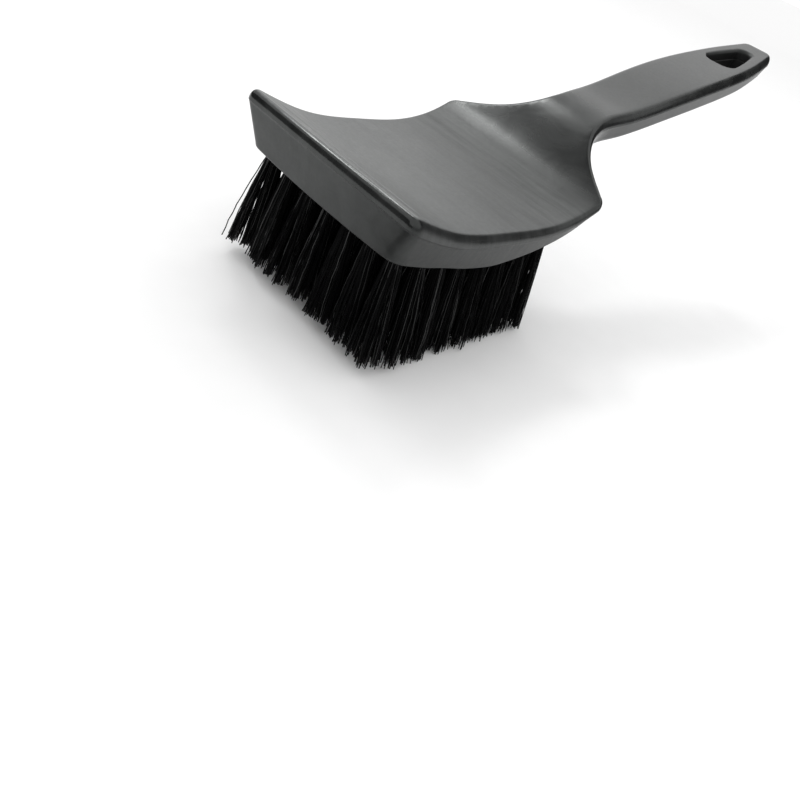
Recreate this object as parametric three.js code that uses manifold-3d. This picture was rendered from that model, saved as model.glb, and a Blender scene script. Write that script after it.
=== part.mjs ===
// Wheel brush: a short hand brush for scrubbing wheels and tyres.
//
// One moulded block is both the head and the handle. Its underside has blind
// holes, and a flared tuft of bristles is fixed in each of them.
//
// The model is drawn with x running from the front edge of the head to the
// tail of the handle, y across the brush and z up, and with z = 0 on the line
// that joins the head's front edge to its two rear ears. The finished group is
// then moved so that its origin is the middle of the bottom of its own box.

import * as THREE from 'three';
import { mergeVertices } from 'three/addons/utils/BufferGeometryUtils.js';
import Module from 'manifold-3d';

const wasm = await Module();
wasm.setup();

// ---- Driving dimensions, in millimetres -----------------------------------

// Side view: height of the top surface above the front-to-ear line.
const TOP_PROFILE = [
  [0, 0], [20, -6], [46, -8.1], [70, -7.6], [86, -3.6], [96, 1.65], [108, 10.2],
  [118, 15.7], [134, 19.7], [160, 26.7], [190, 34.7], [222, 41.9], [256, 49.9],
];
// Thickness from the top surface to the underside, at the rim and along the middle.
const RIM_THICKNESS = [
  [-3, 15.8], [21, 11.7], [45, 12.3], [69, 8.4], [84, 6.4], [93, 4.4], [107, 9.4], [125, 10.9],
  [185, 11.4], [257, 11.2],
];
const MIDDLE_THICKNESS = [
  [-3, 16.8], [21, 12.2], [45, 12.6], [69, 10.4], [93, 9.8], [107, 10.4], [125, 10.9],
  [185, 11.4], [257, 11.2],
];

// Plan view. The front and the sides of the head are given on the parting line,
// where the block is widest, and on the bottom edge, which has rounder corners.
const PARTING_HEAD = { bow: 0.5, cornerR: 3.4, side: [[1, 37.3], [45, 37.7], [91, 38.2]] };
const BOTTOM_HEAD = { bow: 0.5, cornerR: 5.6, side: [[5.4, 33.8], [30, 35.8], [91, 36.9]] };
const EAR = [94.0, 38.4];
const EAR_CORNER_R = 3.2;
const EAR_BACK = 1.5;         // how far behind the ear's tip its rear edge starts
const SHOULDER = [
  [96.8, 33.0], [99.7, 27.9], [102.8, 23.1], [106.5, 18.8], [111, 15.3], [116, 13.2],
  [123, 12.3],
];
const HANDLE = [[140, 13.2], [162, 14.2], [185, 14.6], [210, 14.0], [232, 12.3], [253.4, 8.8]];
const TAIL_X = 257.4;
const TAIL_CORNER_R = 5.0;

// Rim: rounded edge above the parting line, drafted wall and edge below it.
const TOP_ROUND = [[-3, 3.0], [60, 2.6], [92, 1.4], [106, 2.4], [130, 2.9], [257, 2.6]];
const PARTING_DEPTH = [[-3, 4.1], [50, 3.4], [85, 2.6], [93, 1.9], [107, 3.2], [130, 4.1], [257, 4.2]];
const HANDLE_DRAFT = 1.2;     // how much narrower the handle is at its bottom edge
const DRAFT_FROM = 88;        // the draft comes in between these two places along x
const DRAFT_TO = 98;
const BOTTOM_ROUND = [[-3, 0.8], [80, 0.8], [95, 1.0], [125, 2.6], [257, 2.6]];

// Hang hole near the tail, wider towards the head.
const HOLE = { start: 215.8, end: 244.4, wide: 6.9, narrow: 3.6, wideR: 5.0, narrowR: 3.2, bulge: 0.9 };
const HOLE_CUT_FROM = 10;     // heights between which the hole is cut, clear of the handle
const HOLE_CUT_TO = 70;

// Bristle field: rows from front to rear, columns across.
const ROWS = 8;
const COLUMNS = 7;
const FIRST_ROW_X = 7.0;
const ROW_PITCH = 10.4;
const COLUMN_PITCH = 9.4;
const ROW_FAN = 1.07;         // tip spacing divided by root spacing, along the brush
const COLUMN_FAN = 1.13;      // and across it
const TIPS_BEHIND = 1.0;      // how far the tips as a whole stand behind the roots
const TIP_Z = -54.0;          // plane that the brush stands on
const FRONT_TRIM = 3.0;       // how much higher the front row is cut
const TUFT_HOLE_R = 2.3;
const TUFT_ROOT_R = 2.0;
const TUFT_HOLE_DEPTH = 7.0;
const DRILL_BELOW = 4;        // how far the drill for a tuft hole starts below the block
const WEB_ABOVE_HOLE = 2.0;   // least plastic left above a tuft hole
const INNER_END_CLEAR = 0.8;  // from a tuft's inner end to the bottom of its hole
const FLARE_BELOW = 1.0;      // how far below the block a tuft starts to flare
const GAP = 0.3;              // clearance between neighbouring tufts at their tips

// Mesh fineness.
const ACROSS = 10;            // strips across the block, two of them in each front corner
const CORNER_STEPS = 4;       // steps round each front corner
const TAIL_STEPS = 6;         // steps round each tail corner
const HEAD_STEPS = 16;        // steps along each side of the head
const EAR_STEPS = 4;
const HANDLE_STEPS = 40;      // steps along each side of the shoulder and handle
const FRONT_BLEND = 20;       // length over which the grid lines straighten behind the front edge
const HOLE_SIDES = 12;
const TUFT_SIDES = 12;

// ---- Small tools -------------------------------------------------------------

// Natural cubic spline through a few [x, value] points, as a function of x.
function smooth(points) {
  const n = points.length - 1;
  const x = points.map((p) => p[0]);
  const y = points.map((p) => p[1]);
  const bend = new Array(n + 1).fill(0);
  const weight = new Array(n + 1).fill(0);
  for (let i = 1; i < n; i++) {
    const left = x[i] - x[i - 1];
    const right = x[i + 1] - x[i];
    const kink = (y[i + 1] - y[i]) / right - (y[i] - y[i - 1]) / left;
    const pivot = 2 * (left + right) - left * weight[i - 1];
    weight[i] = right / pivot;
    bend[i] = (6 * kink - left * bend[i - 1]) / pivot;
  }
  for (let i = n - 1; i > 0; i--) bend[i] -= weight[i] * bend[i + 1];
  return (at) => {
    let i = 0;
    while (i < n - 1 && at > x[i + 1]) i++;
    const h = x[i + 1] - x[i];
    const a = (x[i + 1] - at) / h;
    const b = (at - x[i]) / h;
    const curve = ((a ** 3 - a) * bend[i] + (b ** 3 - b) * bend[i + 1]) * h * h / 6;
    return a * y[i] + b * y[i + 1] + curve;
  };
}

// Straight stretches between [x, value] points, held level beyond the ends.
function steps(points) {
  return (at) => {
    const last = points.length - 1;
    if (at <= points[0][0]) return points[0][1];
    if (at >= points[last][0]) return points[last][1];
    const i = points.findIndex((p) => p[0] > at);
    const share = (at - points[i - 1][0]) / (points[i][0] - points[i - 1][0]);
    return THREE.MathUtils.lerp(points[i - 1][1], points[i][1], share);
  };
}

function toSolid(geometry) {
  const bare = geometry.clone();
  bare.deleteAttribute('normal');
  bare.deleteAttribute('uv');
  const merged = mergeVertices(bare, 1e-4);
  return new wasm.Manifold(new wasm.Mesh({
    numProp: 3,
    vertProperties: new Float32Array(merged.attributes.position.array),
    triVerts: new Uint32Array(merged.index.array),
  }));
}

function toGeometry(solid) {
  const mesh = solid.getMesh();
  const geometry = new THREE.BufferGeometry();
  geometry.setAttribute('position', new THREE.BufferAttribute(mesh.vertProperties, 3));
  geometry.setIndex(new THREE.BufferAttribute(mesh.triVerts, 1));
  return geometry;
}

function meshFrom(points, triangles) {
  const geometry = new THREE.BufferGeometry();
  geometry.setAttribute('position', new THREE.Float32BufferAttribute(points.flat(), 3));
  geometry.setIndex(triangles);
  return geometry;
}

// ---- Block: head and handle -----------------------------------------------------

const topAt = smooth(TOP_PROFILE);
const rimThickness = steps(RIM_THICKNESS);
const middleThickness = steps(MIDDLE_THICKNESS);
const topRound = steps(TOP_ROUND);
const partingDepth = steps(PARTING_DEPTH);
const bottomRound = steps(BOTTOM_ROUND);

const vectors = (points) => points.map((p) => new THREE.Vector2(...p));

// Inward normals of a loop that runs clockwise when seen from above.
function inwardNormals(loop) {
  return loop.map((p, i) => {
    const before = loop[(i + loop.length - 1) % loop.length];
    const after = loop[(i + 1) % loop.length];
    const arriving = new THREE.Vector2().subVectors(p, before).normalize();
    const leaving = new THREE.Vector2().subVectors(after, p).normalize();
    const along = arriving.add(leaving).normalize();
    return new THREE.Vector2(along.y, -along.x);
  });
}

// The far front corner, from the front edge (first point) to the side (last).
function frontCorner(head) {
  const [sideX, sideY] = head.side[0];
  const r = head.cornerR;
  return new THREE.EllipseCurve(sideX, sideY - r, r, r, Math.PI, Math.PI / 2, true).getPoints(CORNER_STEPS);
}

// The far tail corner, from the side (first point) to the tail edge (last).
function tailCorner() {
  const [sideX, sideY] = HANDLE[HANDLE.length - 1];
  const r = TAIL_CORNER_R;
  const centreX = TAIL_X - r;
  const startAngle = Math.acos((sideX - centreX) / r);
  const centreY = sideY - r * Math.sin(startAngle);
  return new THREE.EllipseCurve(centreX, centreY, r, r, startAngle, 0, true).getPoints(TAIL_STEPS);
}

// One side of the plan outline, from halfway round the front corner to two
// thirds of the way round the tail corner. The head part comes from the given edge.
function sideOutline(head) {
  const points = frontCorner(head).slice(CORNER_STEPS / 2);
  const add = (list) => points.push(...list.slice(1));
  const earStart = new THREE.Vector2(...head.side[2]);
  const earEnd = new THREE.Vector2(EAR[0] + EAR_BACK, EAR[1] - EAR_CORNER_R);
  add(new THREE.SplineCurve(vectors(head.side)).getSpacedPoints(HEAD_STEPS));
  add(new THREE.QuadraticBezierCurve(earStart, new THREE.Vector2(...EAR), earEnd).getPoints(EAR_STEPS));
  add(new THREE.LineCurve(earEnd, new THREE.Vector2(...SHOULDER[0])).getPoints(1));
  add(new THREE.SplineCurve(vectors([...SHOULDER, ...HANDLE])).getSpacedPoints(HANDLE_STEPS));
  add(tailCorner().slice(0, TAIL_STEPS - 1));
  return points;
}

// The whole outline in order: front edge, far side, tail edge, near side.
function wholeOutline(head) {
  const side = sideOutline(head);
  const flip = (p) => new THREE.Vector2(p.x, -p.y);
  const edge = (start, bow, corner) => {
    const straights = ACROSS - 4;
    const list = [];
    for (let j = 0; j <= straights; j++) {
      const share = 1 - j / straights * 2;
      list.push(new THREE.Vector2(start.x - bow * (1 - share ** 2), start.y * share));
    }
    return [corner, ...list, flip(corner)];
  };
  const [frontStart, frontQuarter] = frontCorner(head);
  const [tailQuarter, tailStart] = tailCorner().slice(TAIL_STEPS - 1);
  const front = edge(frontStart, head.bow, frontQuarter).reverse();
  const tail = edge(tailStart, 0, tailQuarter);
  return [...front, ...side, ...tail, ...[...side].reverse().map(flip)];
}

// The bottom edge: the head's own outline, then the wall's draft behind the ears.
function bottomOutline() {
  const outline = wholeOutline(BOTTOM_HEAD);
  const inward = inwardNormals(outline);
  return outline.map((p, i) => {
    const share = THREE.MathUtils.smoothstep(p.x, DRAFT_FROM, DRAFT_TO);
    return p.clone().addScaledVector(inward[i], HANDLE_DRAFT * share);
  });
}

const halfWidth = steps(sideOutline(PARTING_HEAD).map((p) => [p.x, p.y]));

function undersideAt(x, y) {
  const share = Math.min(1, Math.abs(y) / halfWidth(x)) ** 2;
  return topAt(x) - THREE.MathUtils.lerp(middleThickness(x), rimThickness(x), share);
}

// Closed loops of points round the rim, from the underside up to the top.
function rimRings(parting, bottom) {
  const ring = (outline, shape) => {
    const inward = inwardNormals(outline);
    return outline.map((p, i) => {
      const { offset, height } = shape(p);
      const x = p.x + inward[i].x * offset;
      const y = p.y + inward[i].y * offset;
      return [x, y, height(x, y)];
    });
  };
  const lower = (angle) => ring(bottom, (p) => {
    const round = bottomRound(p.x);
    return {
      offset: round * (1 - Math.cos(angle)),
      height: (x, y) => undersideAt(x, y) + round * (1 - Math.sin(angle)),
    };
  });
  const upper = (angle) => ring(parting, (p) => ({
    offset: topRound(p.x) * (1 - Math.cos(angle)),
    height: (x) => topAt(x) - partingDepth(p.x) * (1 - Math.sin(angle)),
  }));
  const quarter = Math.PI / 2;
  return [
    lower(quarter), lower(quarter / 2), lower(0),
    upper(0), upper(quarter / 3), upper(quarter * 2 / 3), upper(quarter),
  ];
}

// Index in the loop of grid place (i along the block, j across it), or -1 inside.
function loopIndex(i, j, sideCount) {
  const front = ACROSS - 1;
  if (j === ACROSS) return front + i;
  if (j === 0) return front + sideCount + front + (sideCount - 1 - i);
  if (i === 0) return j - 1;
  if (i === sideCount - 1) return front + sideCount + (ACROSS - 1 - j);
  return -1;
}

// Fills a ring with a grid that follows the given height, and lists its triangles.
function fillRing(points, start, ring, sideCount, height, up, triangles) {
  const inner = new Map();
  const corner = ring[loopIndex(0, ACROSS, sideCount)];
  const tailEnd = ring[loopIndex(sideCount - 1, ACROSS, sideCount)];
  for (let i = 1; i < sideCount - 1; i++) {
    const rim = ring[loopIndex(i, ACROSS, sideCount)];
    const fade = Math.max(0, 1 - (rim[0] - corner[0]) / FRONT_BLEND);
    for (let j = 1; j < ACROSS; j++) {
      const front = ring[loopIndex(0, j, sideCount)];
      const tail = ring[loopIndex(sideCount - 1, j, sideCount)];
      const share = THREE.MathUtils.lerp(front[1] / corner[1], tail[1] / tailEnd[1], i / sideCount);
      const x = rim[0] + (front[0] - corner[0]) * fade;
      const y = rim[1] * share;
      inner.set(i * (ACROSS + 1) + j, points.length);
      points.push([x, y, height(x, y)]);
    }
  }
  const id = (i, j) => {
    const onLoop = loopIndex(i, j, sideCount);
    return onLoop < 0 ? inner.get(i * (ACROSS + 1) + j) : start + onLoop;
  };
  for (let i = 0; i < sideCount - 1; i++) {
    for (let j = 0; j < ACROSS; j++) {
      const [a, b, c, d] = [id(i, j), id(i + 1, j), id(i + 1, j + 1), id(i, j + 1)];
      if (up) triangles.push(a, b, c, a, c, d);
      else triangles.push(a, c, b, a, d, c);
    }
  }
}

function plainBlock() {
  const parting = wholeOutline(PARTING_HEAD);
  const rings = rimRings(parting, bottomOutline());
  const size = parting.length;
  const sideCount = size / 2 - (ACROSS - 1);
  const points = rings.flat();
  const triangles = [];
  for (let k = 0; k < rings.length - 1; k++) {
    for (let i = 0; i < size; i++) {
      const next = (i + 1) % size;
      const [a, b, c, d] = [k * size + i, k * size + next, (k + 1) * size + next, (k + 1) * size + i];
      triangles.push(a, d, c, a, c, b);
    }
  }
  const topStart = (rings.length - 1) * size;
  fillRing(points, 0, rings[0], sideCount, undersideAt, false, triangles);
  fillRing(points, topStart, rings[rings.length - 1], sideCount, (x) => topAt(x), true, triangles);
  return toSolid(meshFrom(points, triangles));
}

// Prism that cuts the hang hole: a rounded wedge with slightly bulging sides.
function hangHoleCutter() {
  const shape = new THREE.Shape();
  const { start, end, wide, narrow, wideR, narrowR, bulge } = HOLE;
  const midX = (start + end) / 2;
  const midY = (wide + narrow) / 2 + bulge;
  shape.absarc(start + wideR, wide - wideR, wideR, Math.PI, Math.PI / 2, true);
  shape.quadraticCurveTo(midX, midY, end - narrowR, narrow);
  shape.absarc(end - narrowR, narrow - narrowR, narrowR, Math.PI / 2, 0, true);
  shape.absarc(end - narrowR, narrowR - narrow, narrowR, 0, -Math.PI / 2, true);
  shape.quadraticCurveTo(midX, -midY, start + wideR, -wide);
  shape.absarc(start + wideR, wideR - wide, wideR, -Math.PI / 2, -Math.PI, true);
  const length = HOLE_CUT_TO - HOLE_CUT_FROM;
  const prism = new THREE.ExtrudeGeometry(shape, { depth: length, bevelEnabled: false, curveSegments: 5 });
  prism.translate(0, 0, HOLE_CUT_FROM);
  return toSolid(prism);
}

// ---- Bristle tufts -----------------------------------------------------------------

// Where one tuft starts, where it ends and how deep its hole is.
function tuftPlace(row, column) {
  const rootX = FIRST_ROW_X + row * ROW_PITCH;
  const rootY = (column - (COLUMNS - 1) / 2) * COLUMN_PITCH;
  const middleX = FIRST_ROW_X + (ROWS - 1) / 2 * ROW_PITCH;
  const trim = FRONT_TRIM * Math.max(0, 1 - row / 2) ** 2;
  const root = new THREE.Vector3(rootX, rootY, undersideAt(rootX, rootY));
  const tip = new THREE.Vector3(
    middleX + TIPS_BEHIND + (rootX - middleX) * ROW_FAN, rootY * COLUMN_FAN, TIP_Z + trim);
  const down = new THREE.Vector3().subVectors(tip, root).normalize();
  const room = topAt(rootX) - root.z - WEB_ABOVE_HOLE;
  return { root, tip, down, depth: Math.min(TUFT_HOLE_DEPTH, room) };
}

// Drill for a tuft's hole, from its bottom to some way below the underside.
function tuftHoleCutter({ root, down, depth }) {
  const drill = new THREE.CylinderGeometry(TUFT_HOLE_R, TUFT_HOLE_R, depth + DRILL_BELOW, HOLE_SIDES);
  drill.rotateY(Math.PI / HOLE_SIDES);
  const turn = new THREE.Quaternion().setFromUnitVectors(new THREE.Vector3(0, 1, 0), down);
  drill.applyQuaternion(turn);
  drill.translate(
    root.x + down.x * (DRILL_BELOW - depth) / 2,
    root.y + down.y * (DRILL_BELOW - depth) / 2,
    root.z + down.z * (DRILL_BELOW - depth) / 2);
  return toSolid(drill);
}

// A flared prism: round in its hole, a rounded square that fills its cell at the tips.
function tuftGeometry({ root, tip, down, depth }) {
  const innerEnd = root.clone().addScaledVector(down, INNER_END_CLEAR - depth);
  const mouth = root.clone().addScaledVector(down, FLARE_BELOW);
  const tipX = ROW_PITCH * ROW_FAN / 2 - GAP / 2;
  const tipY = COLUMN_PITCH * COLUMN_FAN / 2 - GAP / 2;
  const round = (angle) => [TUFT_ROOT_R * Math.cos(angle), TUFT_ROOT_R * Math.sin(angle)];
  const squarish = (angle) => {
    const reach = (Math.cos(angle) ** 4 + Math.sin(angle) ** 4) ** -0.25;
    return [tipX * reach * Math.cos(angle), tipY * reach * Math.sin(angle)];
  };
  const sections = [[innerEnd, round], [mouth, round], [tip, squarish]];
  const points = [];
  for (const [centre, outline] of sections) {
    for (let s = 0; s < TUFT_SIDES; s++) {
      const [dx, dy] = outline((s + 0.5) / TUFT_SIDES * Math.PI * 2);
      points.push([centre.x + dx, centre.y + dy, centre.z]);
    }
  }
  const triangles = [];
  for (let k = 0; k < sections.length - 1; k++) {
    for (let s = 0; s < TUFT_SIDES; s++) {
      const next = (s + 1) % TUFT_SIDES;
      const upper = k * TUFT_SIDES;
      const lower = upper + TUFT_SIDES;
      triangles.push(upper + s, lower + s, lower + next, upper + s, lower + next, upper + next);
    }
  }
  const tipStart = (sections.length - 1) * TUFT_SIDES;
  for (let s = 1; s < TUFT_SIDES - 1; s++) {
    triangles.push(0, s, s + 1);
    triangles.push(tipStart, tipStart + s + 1, tipStart + s);
  }
  return meshFrom(points, triangles);
}

// ---- The brush -----------------------------------------------------------------------

const plastic = () => new THREE.MeshStandardMaterial({ color: 0x2b2c2c, roughness: 0.45, metalness: 0 });
const bristle = () => new THREE.MeshStandardMaterial({ color: 0x0b0b0c, roughness: 0.5, metalness: 0 });

function addPiece(group, name, geometry, material) {
  const mesh = new THREE.Mesh(geometry, material);
  mesh.name = name;
  group.add(mesh);
}

function wheelBrush() {
  const brush = new THREE.Group();
  let block = plainBlock().subtract(hangHoleCutter());
  for (let row = 0; row < ROWS; row++) {
    for (let column = 0; column < COLUMNS; column++) {
      const place = tuftPlace(row, column);
      block = block.subtract(tuftHoleCutter(place));
      addPiece(brush, `tuft_r${row + 1}_c${column + 1}`, tuftGeometry(place), bristle());
    }
  }
  addPiece(brush, 'handle_block', toGeometry(block), plastic());
  const box = new THREE.Box3().setFromObject(brush);
  brush.position.set(-(box.min.x + box.max.x) / 2, -(box.min.y + box.max.y) / 2, -box.min.z);
  const model = new THREE.Group();
  model.add(brush);
  return model;
}

export default wheelBrush();
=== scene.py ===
"""Wheel brush: the looks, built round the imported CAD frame.

The moulded block is rebuilt as one fine mesh with its parting line, front
lip, hang hole and blind tuft holes. Each tuft becomes a bundle of separate
wavy filaments held by a bent wire at the bottom of its hole.

Shapes are worked out in the brush's own millimetres: x from the front edge of
the head to the tail, y across, z up from the line that joins the front edge to
the rear ears. row_frame() turns them into the metres of the CAD frame.
"""

import math

import bpy
import numpy as np
from mathutils import Matrix, Vector
from mathutils.geometry import delaunay_2d_cdt


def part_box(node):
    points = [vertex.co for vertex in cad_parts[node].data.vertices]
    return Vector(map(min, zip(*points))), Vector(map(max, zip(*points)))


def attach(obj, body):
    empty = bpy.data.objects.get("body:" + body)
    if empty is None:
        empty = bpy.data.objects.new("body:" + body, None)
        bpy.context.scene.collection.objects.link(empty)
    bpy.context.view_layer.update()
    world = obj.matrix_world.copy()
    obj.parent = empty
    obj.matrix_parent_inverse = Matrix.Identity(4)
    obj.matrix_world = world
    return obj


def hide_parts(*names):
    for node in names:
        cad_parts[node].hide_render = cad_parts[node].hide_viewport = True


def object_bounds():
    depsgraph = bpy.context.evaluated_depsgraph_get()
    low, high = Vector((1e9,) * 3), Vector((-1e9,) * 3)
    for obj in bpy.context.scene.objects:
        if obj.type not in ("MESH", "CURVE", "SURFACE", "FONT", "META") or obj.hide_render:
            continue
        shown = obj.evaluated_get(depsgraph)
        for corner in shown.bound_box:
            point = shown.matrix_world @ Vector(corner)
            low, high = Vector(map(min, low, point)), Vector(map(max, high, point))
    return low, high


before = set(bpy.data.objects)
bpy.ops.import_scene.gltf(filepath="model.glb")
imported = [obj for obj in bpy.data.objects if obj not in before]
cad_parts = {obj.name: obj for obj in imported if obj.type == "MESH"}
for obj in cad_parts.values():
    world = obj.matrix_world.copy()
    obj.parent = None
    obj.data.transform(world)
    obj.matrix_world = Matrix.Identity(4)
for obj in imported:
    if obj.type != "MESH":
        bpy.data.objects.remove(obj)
cad_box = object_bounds()

# ---- Driving dimensions, in millimetres (the same as the CAD's) -----------------

MM = 0.001
TAIL_X = 257.4
TIP_Z = -54.0
TOP_PROFILE = [
    (0, 0), (20, -6), (46, -8.1), (70, -7.6), (86, -3.6), (96, 1.65), (108, 10.2),
    (118, 15.7), (134, 19.7), (160, 26.7), (190, 34.7), (222, 41.9), (256, 49.9),
]
RIM_THICKNESS = [
    (-3, 15.8), (21, 11.7), (45, 12.3), (69, 8.4), (84, 6.4), (93, 4.4), (107, 9.4),
    (125, 10.9), (185, 11.4), (257, 11.2),
]
MIDDLE_THICKNESS = [
    (-3, 16.8), (21, 12.2), (45, 12.6), (69, 10.4), (93, 9.8), (107, 10.4),
    (125, 10.9), (185, 11.4), (257, 11.2),
]
PARTING_SIDE = [(1, 37.3), (45, 37.7), (91, 38.2)]
PARTING_CORNER_R = 3.4
BOTTOM_SIDE = [(5.4, 33.8), (30, 35.8), (91, 36.9)]
BOTTOM_CORNER_R = 5.6
FRONT_BOW = 0.5
EAR = (94.0, 38.4)
EAR_CORNER_R = 3.2
EAR_BACK = 1.5               # the ear's rounding ends this far behind its corner
SHOULDER = [
    (96.8, 33.0), (99.7, 27.9), (102.8, 23.1), (106.5, 18.8), (111, 15.3),
    (116, 13.2), (123, 12.3),
]
HANDLE = [(140, 13.2), (162, 14.2), (185, 14.6), (210, 14.0), (232, 12.3), (253.4, 8.8)]
TAIL_CORNER_R = 5.0
TOP_ROUND = [(-3, 3.0), (60, 2.6), (92, 1.4), (106, 2.4), (130, 2.9), (257, 2.6)]
PARTING_DEPTH = [
    (-3, 4.1), (50, 3.4), (85, 2.6), (93, 1.9), (107, 3.2), (130, 4.1), (257, 4.2),
]
HANDLE_DRAFT = 1.2
DRAFT_FROM, DRAFT_TO = 88, 98             # that draft starts here, and is full here
BOTTOM_ROUND = [(-3, 0.8), (80, 0.8), (95, 1.0), (125, 2.6), (257, 2.6)]
HOLE_START, HOLE_END = 215.8, 244.4
HOLE_WIDE, HOLE_NARROW = 6.9, 3.6
HOLE_WIDE_R, HOLE_NARROW_R, HOLE_BULGE = 5.0, 3.2, 0.9

ROWS, COLUMNS = 8, 7
FIRST_ROW_X = 7.0
ROW_PITCH, COLUMN_PITCH = 10.4, 9.4
ROW_FAN, COLUMN_FAN = 1.07, 1.13
TIPS_BEHIND = 1.0
FRONT_TRIM = 3.0
TUFT_HOLE_R = 2.3
TUFT_HOLE_DEPTH = 7.0
WEB_ABOVE_HOLE = 2.0

# ---- Detail that only this script has, in millimetres ---------------------------

LEDGE = 0.16                 # step in the wall along the parting line
LEDGE_HEIGHT = 0.1
GROOVE_X, GROOVE_HALF = 4.9, 0.7          # line in the top that sets off the front lip
GROOVE_DEPTH = 0.2
GROOVE_FADE = (26, 32)       # distance from the middle where the line runs out
HOLE_EDGE_R = 1.5            # rounding of the hang hole's top edge
HOLE_FOOT_R = 0.9
HOLE_DRAFT = 0.05
HOLE_STEP = (4.1, 4.3)       # depths where a step in the hang hole begins and ends
HOLE_LEDGE = 0.55            # width of that step
HOLE_WALL_TO = 7.5
TUFT_HOLE_SIDES = 24
TUFT_HOLE_POINT = 1.0        # height of the pointed bottom of a blind hole

FRONT_STEPS, CORNER_STEPS, SIDE_STEPS, EAR_STEPS = 60, 14, 62, 8     # mesh steps along the outline
NOTCH_STEPS, HANDLE_STEPS, TAIL_STEPS = 3, 150, 10
HOLE_CORNER_STEPS, HOLE_SIDE_STEPS = 12, 28
WALL_SHARES = (0.25, 0.5, 0.75, 0.93, 1.0)      # heights of the mesh loops up the wall
SHARP_DEGREES = 50           # edges that turn by more than this stay sharp
TOP_GRID, UNDER_GRID = (1.7, 2.4), (2.1, 2.3)
GRID_REACH = 40.3
GRID_GAP = 0.16              # of the grid's step, kept free along the edges

SIDE_POLISH, HANDLE_POLISH = 0.35, 0.2    # gloss of the edge rounding, next to the front lip's 1
LIP_FACING = (0.75, 0.97)    # how squarely an edge faces forward where the lip's gloss begins
HANDLE_GLOSS = (95, 120, 215, 245)        # where the handle's gloss begins, is full, fades, ends

FILAMENTS = 165              # in one tuft
FILAMENT_R = 0.19
FILAMENT_RINGS, FILAMENT_SIDES = 13, 4
PACKING_GAP = 0.12           # between the outer filaments and the wall of the hole
PACKING_JITTER = 0.05
ROOT_DEPTH = 1.3             # the filaments start this far short of the hole's bottom
FLARE_FROM, FLARE_EASE = 0.8, 0.72        # the flare starts at this share of the hole's depth
REACH_POWER, CELL_FILL = 0.85, 0.97       # how evenly, and how fully, the tips fill their cell
CLUMPS, CLUMP_REACH = 9, 0.6              # the tips of a tuft gather in clumps
CLUMP_PULL = (0.2, 0.62)
SHORT_CLUMP, SHORT_FILAMENT, SHORT_MOST = 1.3, 0.75, 4.0      # how far tips stop short
STRAY_SHARE, STRAY_REACH = 0.035, 1.6
TIP_SCATTER, BOW = 0.5, 0.55
CRIMP, CRIMP_PITCH, CRIMP_ONSET = 0.13, (7.0, 11.0), 3
TIP_CLEARANCE = 0.02         # between the longest tips and the floor
NEVER_ALONG = (0.36, 0.93, 0.05)          # a direction in which no filament or wire runs
WIRE_R, WIRE_SIDES = 0.3, 6
WIRE_DEPTH = 1.35            # of the wire's middle below the hole's bottom
WIRE_BEND = [                # half of the bent wire, from its middle: across, up
    (0, 0.12), (1.3, 0), (1.88, -0.8), (1.85, -2.2),
]

# ---- Studio, in metres and degrees ------------------------------------------------

CAMERA_PLACE = (-0.26605, -0.1336, 0.1254)
CAMERA_RIGHT = (0.6741, -0.6534, 0.3445)
CAMERA_BACK = (-0.6958, -0.4052, 0.5931)
CAMERA_LENS, CAMERA_SENSOR = 32.21, 36.0    # millimetres
CAMERA_NEAR = 0.01
WORLD_LIGHT = 1.06
KEY_FROM = (0.70, 0.41, 0.62)
KEY_LIGHT, KEY_SPREAD = 0.25, 60            # watts per square metre, degrees across
SOFTBOX_DISTANCE = 1.2
SOFTBOXES = [                               # name, azimuth, elevation, size, watts
    ("shoulder_light", 68, 54, (0.22, 0.16), 1.45),
    ("lip_light", 99, 51, (0.32, 0.16), 2.3),
]
SURROUND_R = 2.5
SURROUND_SIDES = 96
SKYLINE = [                                 # the surround's top edge: azimuth, elevation
    (-180, 16), (-95, 14), (-42, 12), (-32, 40), (4, 42), (18, 2), (66, 2), (80, 14),
    (112, 16), (125, 34), (160, 34), (178, 16),
]
FLAGS = [                                   # corners of the dark cards overhead: azimuth, elevation
    [(75, 54), (97, 58), (97, 84), (75, 84)],
    [(45, 64), (75, 63), (75, 84), (45, 84)],
]
# dark card on the floor just before the brush, seen only in reflections: painted shade of the floor
# there
FLOOR_SHADE_CARD = [(-0.25, -0.10), (-0.146, -0.10), (-0.146, 0.008), (-0.25, 0.008)]
FLOOR_CARD_Z = 0.001
FLOOR_RADII = [0.5, 1.5, 5.0, 15.0, 60.0]
FLOOR_SIDES = 64

# ---- Finishes: plain colours, and the ranges that the noises move the rest through ----

# Where the block's finishes change along the brush, in its millimetres, and what is left.
CREASE_X = 88                             # the head's brushed top ends here
BRUSHED_END, BRUSHED_REST = (86, 91), 0.15
TEXTURE_END, TEXTURE_REST = (87, 89), 0.25
SMOOTH_START, SMOOTH_END, SMOOTH_REST = (88, 94), (118, 136), 0.2

CHARCOAL = (0.008, 0.0084, 0.0084), (0.021, 0.0217, 0.0215)
# paler colour laid on the head's upward-facing top: a painted sheen that stands in for reflected light
PAINTED_SHEEN_TONE = (0.088, 0.0905, 0.0895)
# near-black painted shade, blended in deep inside the hang hole
HOLE_SHADE_TONE = (0.010, 0.010, 0.010)
PLASTIC_TINT = (0.955, 1.0, 0.98)         # of its reflections
PLASTIC_IOR = 1.5
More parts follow.
